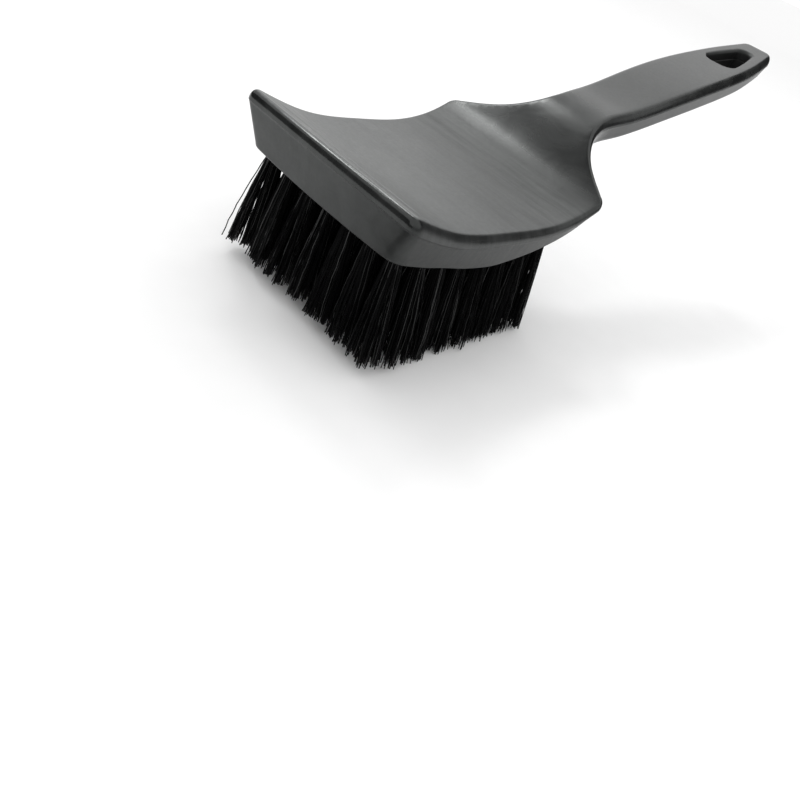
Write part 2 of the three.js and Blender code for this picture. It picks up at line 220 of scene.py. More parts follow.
# strength of the painted sheen at the front, at the crease, and along the brush streaks
FRONT_PAINTED_SHEEN, CREASE_PAINTED_SHEEN, STREAK_PAINTED_SHEEN = 0.85, 0.36, 1.2
LEVEL = (0.86, 0.98)                      # upward part of the normal where the painted sheen begins, is full
CLOUD_SPAN, NOISE_SPAN = (0.32, 0.68), (0.3, 0.7)             # where most of a noise's values lie
MATT_ROUGHNESS, GLOSSY_ROUGHNESS = (0.37, 0.45), (0.10, 0.20)
SMOOTH_ROUGHNESS = 0.225
STREAK_ROUGHNESS, FINE_ROUGHNESS = 0.35, 0.03
SHEEN, STREAK_SHEEN = (0.46, 0.56), 0.6
# the second weakens reflections deep in the hang hole, along with its painted shade
SMOOTH_SHEEN, HOLE_SHADE_SHEEN = 0.82, 0.35
MATT_POWER, HATCH_POWER = 0.4, 5          # of polish: where the grain ends, and hatching begins
SMOOTH_WAVES = 0.2
GRAIN_RELIEF, LINE_RELIEF = (0.3, 0.00003), (0.6, 0.00014)    # strength, and height in metres
WAVE_RELIEF, HATCH_RELIEF = (0.3, 0.0004), (0.5, 0.00005)

BRISTLE_BLACK = (0.001, 0.001, 0.0012), (0.004, 0.004, 0.0042)
BRISTLE_SHADE_SHARE = 0.7                 # of each filament's own shade in its tone
BRISTLE_ROUGHNESS, BRISTLE_SHEEN = (0.34, 0.18), (0.04, 0.6)
BRISTLE_RELIEF = (0.2, 0.00005)
PALE_FROM = 0.78                          # filaments with a shade above this show as pale lines
STEEL = (0.42, 0.41, 0.38), (0.60, 0.59, 0.56)
STEEL_ROUGHNESS = (0.25, 0.45)
PAPER = (0.84, 0.84, 0.84), (0.88, 0.88, 0.88)
CLOTH = (0.008, 0.008, 0.008), (0.02, 0.02, 0.02)

rng = np.random.default_rng(20)


def row_frame(points):
    """Points in the brush's millimetres as an array in the row frame's metres."""
    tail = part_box("handle_block")[1].x
    floor = cad_box[0].z
    shift = np.array([tail - TAIL_X * MM, 0.0, floor - TIP_Z * MM])
    return np.asarray(points, float) * MM + shift


# ---- Curves ----------------------------------------------------------------------


def natural_spline(knots):
    """Natural cubic spline through the knots, as a function of x."""
    x, y = np.array(knots, float).T
    h = np.diff(x)
    n = len(x)
    system = np.eye(n)
    kinks = np.zeros(n)
    for i in range(1, n - 1):
        system[i, i - 1:i + 2] = h[i - 1], 2 * (h[i - 1] + h[i]), h[i]
        kinks[i] = 6 * ((y[i + 1] - y[i]) / h[i] - (y[i] - y[i - 1]) / h[i - 1])
    bend = np.linalg.solve(system, kinks)

    def at(v):
        v = np.asarray(v, float)
        i = np.clip(np.searchsorted(x, v) - 1, 0, n - 2)
        a = (x[i + 1] - v) / h[i]
        b = (v - x[i]) / h[i]
        curve = ((a**3 - a) * bend[i] + (b**3 - b) * bend[i + 1]) * h[i] ** 2 / 6
        return a * y[i] + b * y[i + 1] + curve

    return at


def eased_steps(knots, reach=4.0):
    """Straight stretches between the knots, with each kink rounded over +-reach."""
    x, y = np.array(knots, float).T
    offsets = np.linspace(-reach, reach, 9)

    def at(v):
        v = np.asarray(v, float)
        return np.mean([np.interp(v + o, x, y) for o in offsets], axis=0)

    return at


def even(points, count):
    """count + 1 points spaced evenly along a polyline."""
    points = np.asarray(points, float)
    along = np.r_[0, np.cumsum(np.linalg.norm(np.diff(points, axis=0), axis=1))]
    at = np.linspace(0, along[-1], count + 1)
    return np.stack([np.interp(at, along, points[:, k]) for k in (0, 1)], axis=1)


def rounded_line(knots, count):
    """Evenly spaced points on a Catmull-Rom curve through the knots."""
    p = np.array(knots, float)
    p = np.vstack([p[0], p, p[-1]])
    t = np.linspace(0, 1, 40, endpoint=False)[:, None]
    dense = []
    for a, b, c, d in zip(p, p[1:], p[2:], p[3:]):
        v0, v1 = (c - a) / 2, (d - b) / 2
        cubic, square = 2 * b - 2 * c + v0 + v1, 3 * c - 3 * b - 2 * v0 - v1
        dense.append(cubic * t**3 + square * t**2 + v0 * t + b)
    dense.append(p[-1:])
    return even(np.vstack(dense), count)


def bezier(a, b, c, count):
    """Points on the curve from a to c that leaves and arrives towards b."""
    t = np.linspace(0, 1, count + 1)[:, None]
    a, b, c = (np.array(p, float) for p in (a, b, c))
    return (1 - t) ** 2 * a + 2 * t * (1 - t) * b + t**2 * c


def arc(centre, radius, start, end, count):
    """Points on an arc, angles in degrees."""
    angle = np.radians(np.linspace(start, end, count + 1))
    return np.stack([centre[0] + radius * np.cos(angle), centre[1] + radius * np.sin(angle)], axis=1)


def straight(a, b, count):
    return np.linspace(a, b, count + 1)


def mirror(points):
    return points * [1, -1]


def inward_normals(loop):
    """Inward normals of a closed loop that runs clockwise seen from above."""
    arriving = loop - np.roll(loop, 1, axis=0)
    leaving = np.roll(loop, -1, axis=0) - loop
    arriving /= np.linalg.norm(arriving, axis=1)[:, None]
    leaving /= np.linalg.norm(leaving, axis=1)[:, None]
    along = arriving + leaving
    along /= np.linalg.norm(along, axis=1)[:, None]
    return np.stack([along[:, 1], -along[:, 0]], axis=1)


def smoothstep(value, low, high):
    t = np.clip((value - low) / (high - low), 0, 1)
    return t * t * (3 - 2 * t)


top_at = natural_spline(TOP_PROFILE)
rim_thickness = eased_steps(RIM_THICKNESS)
middle_thickness = eased_steps(MIDDLE_THICKNESS)
top_round = eased_steps(TOP_ROUND)
parting_depth = eased_steps(PARTING_DEPTH)
bottom_round = eased_steps(BOTTOM_ROUND)


# ---- Plan outlines ---------------------------------------------------------------


def far_side(side, corner_r):
    """One side of the outline: front corner, head side, ear, shoulder, handle, tail corner."""
    start_x, start_y = side[0]
    ear_end = (EAR[0] + EAR_BACK, EAR[1] - EAR_CORNER_R)
    tail_x, tail_y = HANDLE[-1]
    centre_x = TAIL_X - TAIL_CORNER_R
    start_angle = math.degrees(math.acos((tail_x - centre_x) / TAIL_CORNER_R))
    centre_y = tail_y - TAIL_CORNER_R * math.sin(math.radians(start_angle))
    stretches = [
        arc((start_x, start_y - corner_r), corner_r, 180, 90, CORNER_STEPS),
        rounded_line(side, SIDE_STEPS),
        bezier(side[-1], EAR, ear_end, EAR_STEPS),
        straight(ear_end, SHOULDER[0], NOTCH_STEPS),
        rounded_line(SHOULDER + HANDLE, HANDLE_STEPS),
        arc((centre_x, centre_y), TAIL_CORNER_R, start_angle, 0, CORNER_STEPS),
    ]
    return np.vstack([stretches[0]] + [s[1:] for s in stretches[1:]])


def outline(side, corner_r):
    """The whole closed outline, clockwise from above, starting on the front edge."""
    far = far_side(side, corner_r)
    share = np.linspace(-1, 1, FRONT_STEPS + 1)[1:-1]
    front = np.stack([far[0, 0] - FRONT_BOW * (1 - share**2), far[0, 1] * share], axis=1)
    tail = straight(far[-1], far[-1] * [1, -1], TAIL_STEPS)[1:-1]
    return np.vstack([front, far, tail, mirror(far[::-1])])


def hang_hole(extra=0.0):
    """Closed outline of the hang hole, counterclockwise, opened out by extra."""
    mid = ((HOLE_START + HOLE_END) / 2, (HOLE_WIDE + HOLE_NARROW) / 2 + HOLE_BULGE)
    wide_centre = (HOLE_START + HOLE_WIDE_R, HOLE_WIDE - HOLE_WIDE_R)
    narrow_centre = (HOLE_END - HOLE_NARROW_R, HOLE_NARROW - HOLE_NARROW_R)
    far = np.vstack([
        arc(wide_centre, HOLE_WIDE_R, 180, 90, HOLE_CORNER_STEPS),
        bezier((wide_centre[0], HOLE_WIDE), mid, (narrow_centre[0], HOLE_NARROW), HOLE_SIDE_STEPS)[1:],
        arc(narrow_centre, HOLE_NARROW_R, 90, 0, HOLE_CORNER_STEPS)[1:],
    ])
    loop = np.vstack([far, mirror(far[::-1])])
    return loop - inward_normals(loop) * extra


# ---- Block -----------------------------------------------------------------------

parting_loop = outline(PARTING_SIDE, PARTING_CORNER_R)
bottom_loop = outline(BOTTOM_SIDE, BOTTOM_CORNER_R)
bottom_loop = bottom_loop + inward_normals(bottom_loop) * (
    HANDLE_DRAFT * smoothstep(bottom_loop[:, :1], DRAFT_FROM, DRAFT_TO))
half_line = far_side(PARTING_SIDE, PARTING_CORNER_R)


def half_width(x):
    return np.interp(x, half_line[:, 0], half_line[:, 1])


def underside_at(x, y):
    share = np.clip(np.abs(y) / half_width(x), 0, 1) ** 2
    middle = middle_thickness(x)
    return top_at(x) - (middle + (rim_thickness(x) - middle) * share)


class Shell:
    """Points and faces of a mesh that is put together loop by loop.

    Each point also has two values for the material: polish, how glossy it is,
    and how deep inside the hang hole it is, by which the material paints shade there:
    a darker colour and a weaker reflection.
    """

    def __init__(self):
        self.points = []
        self.faces = []
        self.finish = {"polish": [], "hole_shade": []}

    def add(self, points, polish=0.0, hole_shade=0.0):
        """Adds points and returns their numbers."""
        start = len(self.points)
        self.points.extend(np.asarray(points, float).tolist())
        count = len(self.points) - start
        for name, value in (("polish", polish), ("hole_shade", hole_shade)):
            self.finish[name].extend(np.broadcast_to(value, count).tolist())
        return np.arange(start, len(self.points))

    def join(self, lower, upper):
        """A band of quads between two loops of the same length."""
        following, above = np.roll(lower, -1), np.roll(upper, -1)
        self.faces.extend(zip(lower.tolist(), upper.tolist(), above.tolist(), following.tolist()))

    def fill(self, border, holes, height, step, up, extra=None):
        """Triangles inside the border and outside the holes, on the given surface."""
        loops = [border] + holes
        rings = [np.array(self.points)[ids][:, :2] for ids in loops]
        inner = self.add_grid(rings, height, step, extra)
        ids = np.concatenate(loops + [inner])
        start, edges = 0, []
        for ring in rings:
            count = len(ring)
            edges += [(start + i, start + (i + 1) % count) for i in range(count)]
            start += count
        flat = np.array(self.points)[ids][:, :2]
        verts, _, faces, origin, _, _ = delaunay_2d_cdt(
            [Vector(p) for p in flat], edges, [], 0, 1e-6)
        verts = np.array([tuple(v) for v in verts])
        source = np.array([o[0] for o in origin])
        triangles = np.array([list(f) for f in faces])
        corners = verts[triangles]
        keep = self.inside(corners.mean(axis=1), rings)
        triangles, corners = triangles[keep], corners[keep]
        a, b = corners[:, 1] - corners[:, 0], corners[:, 2] - corners[:, 0]
        turned = (a[:, 0] * b[:, 1] - a[:, 1] * b[:, 0] > 0) != up
        triangles[turned] = triangles[turned][:, ::-1]
        self.faces.extend(map(tuple, ids[source[triangles]].tolist()))

    def add_grid(self, rings, height, step, extra):
        """Points inside the first ring and outside the others, on the given surface."""
        low, high = rings[0].min(axis=0), rings[0].max(axis=0)
        gx, gy = np.meshgrid(
            np.arange(low[0], high[0], step[0]), np.arange(-GRID_REACH, GRID_REACH, step[1]))
        grid = np.stack([gx.ravel(), gy.ravel()], axis=1)
        if extra is not None:
            grid = np.vstack([grid, extra])
        grid = grid[self.inside(grid, rings)]
        edge = np.vstack(rings)
        gap = np.array([np.min(np.sum((edge - g) ** 2, axis=1)) for g in grid])
        grid = grid[gap > (GRID_GAP * min(step)) ** 2]
        return self.add(np.column_stack([grid, height(grid[:, 0], grid[:, 1])]))

    @staticmethod
    def inside(points, rings):
        """Which points are inside the first ring and outside the others."""
        result = None
        for ring in rings:
            x0, y0 = ring.T
            x1, y1 = np.roll(ring, -1, axis=0).T
            found = np.zeros(len(points), bool)
            for a, b, c, d in zip(x0, y0, x1, y1):
                if b == d:
                    continue
                crosses = (points[:, 1] > b) != (points[:, 1] > d)
                found ^= crosses & (points[:, 0] < a + (points[:, 1] - b) * (c - a) / (d - b))
            result = found if result is None else result & ~found
        return result

    def to_object(self, name, sharp_degrees):
        mesh = bpy.data.meshes.new(name)
        mesh.from_pydata(row_frame(self.points).tolist(), [], self.faces)
        mesh.validate()
        mesh.shade_smooth()
        mesh.set_sharp_from_angle(angle=math.radians(sharp_degrees))
        for key, values in self.finish.items():
            attribute = mesh.attributes.new(key, "FLOAT", "POINT")
            attribute.data.foreach_set("value", np.array(values, np.float32))
        obj = bpy.data.objects.new(name, mesh)
        bpy.context.scene.collection.objects.link(obj)
        return obj


def tuft_place(row, column):
    """Root, tip and hole depth of one tuft."""
    root_x = FIRST_ROW_X + row * ROW_PITCH
    root_y = (column - (COLUMNS - 1) / 2) * COLUMN_PITCH
    middle_x = FIRST_ROW_X + (ROWS - 1) / 2 * ROW_PITCH
    trim = FRONT_TRIM * max(0, 1 - row / 2) ** 2
    root = np.array([root_x, root_y, float(underside_at(root_x, root_y))])
    tip = np.array([
        middle_x + TIPS_BEHIND + (root_x - middle_x) * ROW_FAN, root_y * COLUMN_FAN, TIP_Z + trim])
    room = float(top_at(root_x)) - root[2] - WEB_ABOVE_HOLE
    return root, tip, min(TUFT_HOLE_DEPTH, room)


def edge_gloss(x, facing_front):
    """Gloss of the top edge's rounding: full on the front lip, some along the handle."""
    front = smoothstep(facing_front, *LIP_FACING)
    handle = smoothstep(x, *HANDLE_GLOSS[:2]) * (1 - smoothstep(x, *HANDLE_GLOSS[2:]))
    return SIDE_POLISH + (1 - SIDE_POLISH) * front + HANDLE_POLISH * handle


def rim_loops(shell):
    """Loops up the rim, from the underside's edge to the top surface's edge."""
    parting_in = inward_normals(parting_loop)
    bottom_in = inward_normals(bottom_loop)
    depth = parting_depth(parting_loop[:, 0])
    loops = []

    def ring(flat, height, polish=0.0):
        loops.append(shell.add(np.column_stack([flat, height]), polish))

    under = bottom_round(bottom_loop[:, 0])
    for angle in np.radians(np.linspace(90, 0, 6)):
        flat = bottom_loop + bottom_in * (under * (1 - math.cos(angle)))[:, None]
        ring(flat, underside_at(*flat.T) + under * (1 - math.sin(angle)))
    wall_foot = np.array(shell.points)[loops[-1]]
    lip = parting_loop + parting_in * LEDGE
    wall_head = np.column_stack([lip, top_at(parting_loop[:, 0]) - depth - LEDGE_HEIGHT])
    for share in WALL_SHARES:
        loops.append(shell.add(wall_foot + (wall_head - wall_foot) * share))
    x = parting_loop[:, 0]
    gloss = edge_gloss(x, parting_in[:, 0])
    for share in np.linspace(0, 1, 10):
        angle = share * math.pi / 2
        flat = parting_loop + parting_in * (top_round(x) * (1 - math.cos(angle)))[:, None]
        ring(flat, top_at(flat[:, 0]) - depth * (1 - math.sin(angle)), gloss * (1 - share**4))
    return loops


def hang_hole_loops(shell):
    """Loops down the hang hole: rounded edge, upper wall, ledge, lower wall, rounded foot."""
    loops = []

    # the last value is how deep in the hole a loop lies, which sets its painted shade
    def ring(extra, drop, hole_shade=1.0):
        flat = hang_hole(extra)
        loops.append(shell.add(np.column_stack([flat, drop(flat[:, 0])]), 0.0, hole_shade))

    for share in np.linspace(0, 1, 7):
        angle = (1 - share) * math.pi / 2
        out = HOLE_EDGE_R * (1 - math.cos(angle))
        fall = HOLE_EDGE_R * (1 - math.sin(angle))
        ring(out, lambda x, fall=fall: top_at(x) - fall, share)
    ring(-HOLE_DRAFT, lambda x: top_at(x) - HOLE_STEP[0])
    ring(-HOLE_LEDGE, lambda x: top_at(x) - HOLE_STEP[1])
    ring(-HOLE_LEDGE, lambda x: top_at(x) - HOLE_WALL_TO)
    for angle in np.radians(np.linspace(0, 90, 5)):
        out = HOLE_FOOT_R * (1 - math.cos(angle)) - HOLE_LEDGE
        rise = HOLE_FOOT_R * (1 - math.sin(angle))
        ring(out, lambda x, rise=rise: underside_at(x, 0 * x) + rise, math.cos(angle))
    return loops


def tuft_hole_mouths(shell):
    """The mouth of every blind hole; its wall and pointed bottom are closed off here."""
    mouths = []
    for row in range(ROWS):
        for column in range(COLUMNS):
            root, tip, depth = tuft_place(row, column)
            up = (root - tip) / np.linalg.norm(root - tip)
            circle = arc((0, 0), TUFT_HOLE_R, 0, 360 / TUFT_HOLE_SIDES - 360, TUFT_HOLE_SIDES - 1)
            flat = root[:2] + circle
            mouth = shell.add(np.column_stack([flat, underside_at(*flat.T)]))
            mouths.append(mouth)
            wall = np.column_stack([circle, np.zeros(len(circle))]) + root
            bottom = shell.add(wall + up * (depth - TUFT_HOLE_POINT))
            point = shell.add([root + up * depth])[0]
            shell.join(mouth, bottom)
            following = np.roll(bottom, -1)
            shell.faces.extend((a, int(point), b) for a, b in zip(bottom.tolist(), following.tolist()))
    return mouths


def groove_centre(y):
    """The line behind the front lip follows the bow of the front edge."""
    return GROOVE_X - FRONT_BOW * (1 - (y / PARTING_SIDE[0][1]) ** 2)


def top_height(x, y):
    """The top surface, with the fine line behind the front lip."""
    away = np.clip(np.abs(x - groove_centre(y)) / GROOVE_HALF, 0, 1)
    ends = 1 - smoothstep(np.abs(y), *GROOVE_FADE)
    return top_at(x) - GROOVE_DEPTH * (1 - away**2) ** 2 * ends


def groove_points():
    """Places for the mesh to follow the line."""
    reach = GROOVE_FADE[1]
    share, y = np.meshgrid(np.linspace(-1, 1, 7), np.arange(-reach, reach + 0.1, 1.0))
    return np.column_stack([(groove_centre(y) + share * GROOVE_HALF).ravel(), y.ravel()])


def build_block():
    shell = Shell()
    rim = rim_loops(shell)
    for lower, upper in zip(rim, rim[1:]):
        shell.join(lower, upper)
    hole = hang_hole_loops(shell)
    for upper, lower in zip(hole, hole[1:]):
        shell.join(lower, upper)
    mouths = tuft_hole_mouths(shell)
    shell.fill(rim[-1], [hole[0]], top_height, TOP_GRID, True, groove_points())
    shell.fill(rim[0], [hole[-1]] + mouths, underside_at, UNDER_GRID, False)
    return shell.to_object("moulded_block", SHARP_DEGREES)


# ---- Tufts -----------------------------------------------------------------------


def disc_points(count, radius):
    """Evenly scattered points in a disc (sunflower pattern with a little jitter)."""
    i = np.arange(count) + 0.5
    r = radius * np.sqrt(i / count)
    angle = i * math.pi * (3 - math.sqrt(5)) + rng.uniform(0, 2 * math.pi)
    flat = np.stack([r * np.cos(angle), r * np.sin(angle)], axis=1)
    return flat + rng.normal(0, PACKING_JITTER, flat.shape)


def tip_places(packed):
    """How far to the side one tuft's filaments end, and how much short of the tip plane."""
    radius = np.linalg.norm(packed, axis=1)
    angle = np.arctan2(packed[:, 1], packed[:, 0])
    squareness = (np.cos(angle) ** 4 + np.sin(angle) ** 4) ** -0.25
    reach = (radius / (TUFT_HOLE_R - FILAMENT_R)) ** REACH_POWER * squareness
    cell = np.array([ROW_PITCH * ROW_FAN / 2, COLUMN_PITCH * COLUMN_FAN / 2])
    outward = np.stack([np.cos(angle), np.sin(angle)], axis=1)
    spread = outward * reach[:, None] * cell * CELL_FILL

    clumps = rng.normal(0, 1, (CLUMPS, 2)) * cell * CLUMP_REACH
    nearest = np.argmin(((spread[:, None] - clumps[None]) ** 2).sum(axis=2), axis=1)
    pull = rng.uniform(*CLUMP_PULL, FILAMENTS)[:, None]
    scatter = rng.normal(0, TIP_SCATTER, spread.shape)
    tips = spread + (clumps[nearest] - spread) * pull + scatter
    stray = rng.random(FILAMENTS) < STRAY_SHARE
    tips += stray[:, None] * rng.normal(0, STRAY_REACH, tips.shape)
    clump_short = rng.uniform(0, SHORT_CLUMP, CLUMPS)[nearest]
    shortness = clump_short + np.abs(rng.normal(0, SHORT_FILAMENT, FILAMENTS))
    return tips, np.minimum(shortness, SHORT_MOST)


def crimp_along(s, flare, length):
    """The filaments' fine waves, each in a plane of its own."""
    turn = rng.uniform(0, 2 * math.pi, (FILAMENTS, 1))
    pitch = rng.uniform(*CRIMP_PITCH, (FILAMENTS, 1))
    phase = 2 * math.pi * s[None] * length / pitch + turn
    wave = CRIMP * np.sin(phase) * np.minimum(1, flare * CRIMP_ONSET)
    plane = rng.uniform(0, 2 * math.pi, (FILAMENTS, 1))
    return np.stack([wave * np.cos(plane), wave * np.sin(plane)], axis=2)


def filament_paths(row, column):
    """Centrelines of one tuft's filaments, as an array (filament, ring, xyz)."""
    root, tip, depth = tuft_place(row, column)
    up = (root - tip) / np.linalg.norm(root - tip)
    start = root + up * (depth - ROOT_DEPTH)
    packed = disc_points(FILAMENTS, TUFT_HOLE_R - FILAMENT_R - PACKING_GAP)
    tips, drop = tip_places(packed)

    s = np.linspace(0, 1, FILAMENT_RINGS)
    mouth = FLARE_FROM * depth / (depth + np.linalg.norm(root - tip))
    flare = np.clip((s - mouth) / (1 - mouth), 0, 1)
    line = start + (tip - start) * s[:, None]
    paths = np.repeat(line[None], FILAMENTS, axis=0)
    sideways = packed[:, None] + (tips - packed)[:, None] * (flare**FLARE_EASE)[None, :, None]
    swing = (np.sin(flare * math.pi) * flare)[None, :, None]
    bow = rng.normal(0, BOW, (FILAMENTS, 1, 2)) * swing
    crimp = crimp_along(s, flare, np.linalg.norm(tip - start))
    paths[:, :, :2] += sideways + bow + crimp
    paths[:, :, 2] += drop[:, None] * s[None] ** 2
    return paths


def tubes(paths, radius, sides):
    """Points and faces of thin closed tubes along the paths."""
    count, rings, _ = paths.shape
    along = np.gradient(paths, axis=1)
    along /= np.linalg.norm(along, axis=2)[:, :, None]
    across = np.cross(along, NEVER_ALONG)
    across /= np.linalg.norm(across, axis=2)[:, :, None]
    other = np.cross(along, across)
    angle = np.arange(sides) / sides * 2 * math.pi
    circle = (across[:, :, None] * np.cos(angle)[None, None, :, None]
              + other[:, :, None] * np.sin(angle)[None, None, :, None])
    points = (paths[:, :, None] + circle * radius).reshape(-1, 3)
    first = np.arange(count)[:, None, None] * rings * sides
    ring = np.arange(rings - 1)[None, :, None] * sides
    a = first + ring + np.arange(sides)
    b = first + ring + (np.arange(sides) + 1) % sides
    faces = np.stack([a, b, b + sides, a + sides], axis=3).reshape(-1, 4).tolist()
    for end in (0, (rings - 1) * sides):
        cap = first[:, 0] + end + np.arange(sides)
        faces += (cap[:, ::-1] if end == 0 else cap).tolist()
    return points, faces


def mesh_object(name, points, faces):
    mesh = bpy.data.meshes.new(name)
    mesh.from_pydata(row_frame(points).tolist(), [], faces)
    mesh.shade_smooth()
    obj = bpy.data.objects.new(name, mesh)
    bpy.context.scene.collection.objects.link(obj)
    return obj


def build_tuft(row, column):
    """One bundle, in which each filament has a shade of its own for the material."""
    paths = filament_paths(row, column)
    points, faces = tubes(paths, FILAMENT_R, FILAMENT_SIDES)
    points[:, 2] = np.maximum(points[:, 2], TIP_Z + TIP_CLEARANCE)
    obj = mesh_object(f"bristles_r{row + 1}_c{column + 1}", points, faces)
    shade = np.repeat(rng.random(FILAMENTS), FILAMENT_RINGS * FILAMENT_SIDES)
    attribute = obj.data.attributes.new("shade", "FLOAT", "POINT")
    attribute.data.foreach_set("value", shade.astype(np.float32))
    return obj


def build_anchors():
    """The bent wires across the bottoms of the tuft holes, one per tuft."""
    half = np.array([(across, 0, rise) for across, rise in WIRE_BEND])
    bend = np.vstack([half[:0:-1] * [-1, 1, 1], half])
    lines = []
    for row in range(ROWS):
        for column in range(COLUMNS):
            root, tip, depth = tuft_place(row, column)
            up = (root - tip) / np.linalg.norm(root - tip)
            lines.append(root + up * (depth - WIRE_DEPTH) + bend)
    points, faces = tubes(np.array(lines), WIRE_R, WIRE_SIDES)
    return mesh_object("tuft_anchor_wires", points, faces)


# ---- Materials -------------------------------------------------------------------


class Nodes:
    """Short names for the few node set-ups that the materials share."""

    def __init__(self, name):
        self.material = bpy.data.materials.new(name)
        self.material.use_nodes = True
        self.tree = self.material.node_tree
        self.shader = self.tree.nodes["Principled BSDF"]
        self.place = self.new("ShaderNodeTexCoord").outputs["Object"]

    def new(self, kind, **settings):
        node = self.tree.nodes.new(kind)
        for key, value in settings.items():
            setattr(node, key, value)
        return node

    def link(self, source, target):
        self.tree.links.new(source, target)

    def attribute(self, name):
        """A value that the mesh gives for each point."""
        return self.new("ShaderNodeAttribute", attribute_name=name).outputs["Fac"]

    def component(self, vector, axis):
        split = self.new("ShaderNodeSeparateXYZ")
        self.link(vector, split.inputs["Vector"])
        return split.outputs[axis]

    def noise(self, scale, turn=(0, 0, 0), detail=3, roughness=0.55, distortion=0.0):
        """Noise over the object, with a scale (per metre) for each axis, and turned."""
        mapping = self.new("ShaderNodeMapping")
        mapping.inputs["Scale"].default_value = scale
        mapping.inputs["Rotation"].default_value = turn
        self.link(self.place, mapping.inputs["Vector"])
        noise = self.new("ShaderNodeTexNoise")
        self.link(mapping.outputs["Vector"], noise.inputs["Vector"])
        noise.inputs["Scale"].default_value = 1
        noise.inputs["Detail"].default_value = detail
        noise.inputs["Roughness"].default_value = roughness
        noise.inputs["Distortion"].default_value = distortion
        return noise.outputs["Fac"]

    def range(self, value, low, high, to_low, to_high):
        """The value moved from low..high to to_low..to_high, and kept inside."""
        node = self.new("ShaderNodeMapRange")
        self.link(value, node.inputs["Value"])
        node.inputs["From Min"].default_value = low
        node.inputs["From Max"].default_value = high
        node.inputs["To Min"].default_value = to_low
        node.inputs["To Max"].default_value = to_high
        return node.outputs["Result"]

    def math(self, operation, a, b):
        node = self.new("ShaderNodeMath", operation=operation)
        for socket, value in zip(node.inputs, (a, b)):
            if isinstance(value, (int, float)):
                socket.default_value = value
            else:
                self.link(value, socket)
        return node.outputs[0]

    def mix(self, factor, dark, light):
        """A colour between two plain ones."""
        node = self.new("ShaderNodeMix", data_type="RGBA")
        self.link(factor, node.inputs["Factor"])
        node.inputs["A"].default_value = (*dark, 1)
        node.inputs["B"].default_value = (*light, 1)
        return node.outputs["Result"]

    def blend(self, factor, colour, other):
        """The colour from another node, mixed towards a plain one."""
        node = self.new("ShaderNodeMix", data_type="RGBA")
        self.link(factor, node.inputs["Factor"])
        self.link(colour, node.inputs["A"])
        node.inputs["B"].default_value = (*other, 1)
        return node.outputs["Result"]

    def blend_value(self, factor, value, other):
        """A value moved towards a fixed one."""
        node = self.new("ShaderNodeMix", data_type="FLOAT")
        self.link(factor, node.inputs["Factor"])
        self.link(value, node.inputs["A"])
        node.inputs["B"].default_value = other
        return node.outputs["Result"]

    def bump(self, height, strength, distance, below=None):
        node = self.new("ShaderNodeBump")
        self.link(height, node.inputs["Height"])
        node.inputs["Strength"].default_value = strength
        node.inputs["Distance"].default_value = distance
        if below is not None:
            self.link(below, node.inputs["Normal"])
        return node.outputs["Normal"]


